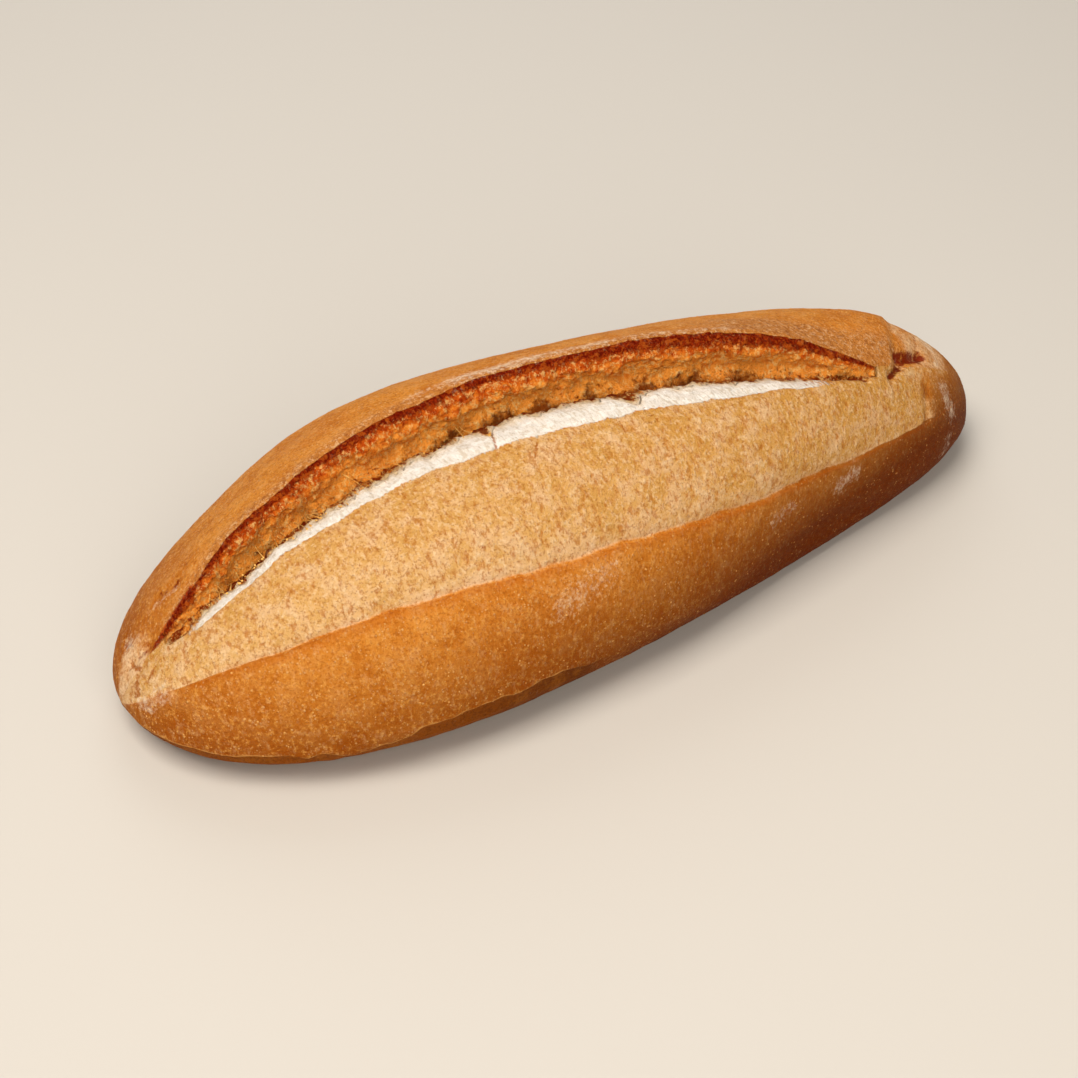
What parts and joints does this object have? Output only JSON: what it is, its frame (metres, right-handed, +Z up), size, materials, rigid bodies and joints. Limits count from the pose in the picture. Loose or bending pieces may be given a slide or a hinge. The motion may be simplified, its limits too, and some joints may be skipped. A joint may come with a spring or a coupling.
{
  "type": "white bread loaf",
  "caption": "Long crusty white bread loaf, blunt at one end and slimmer at the other, with a deep slash along the top, a raised torn lip and a strip of bare crumb.",
  "frame": {"origin": "middle of the flat base, under the middle of the loaf's box", "axes": "+X along the loaf towards its slim end, +Y away from the front crust towards the side the lip leans to, +Z up"},
  "size_m": [0.3, 0.115, 0.0756],
  "materials": {
    "crust": "matt baked crust, golden brown, with a paler torn bloom and white crumb in the slash"
  },
  "bodies": {
    "root": {"loaf": "crust"}
  },
  "joints": []
}
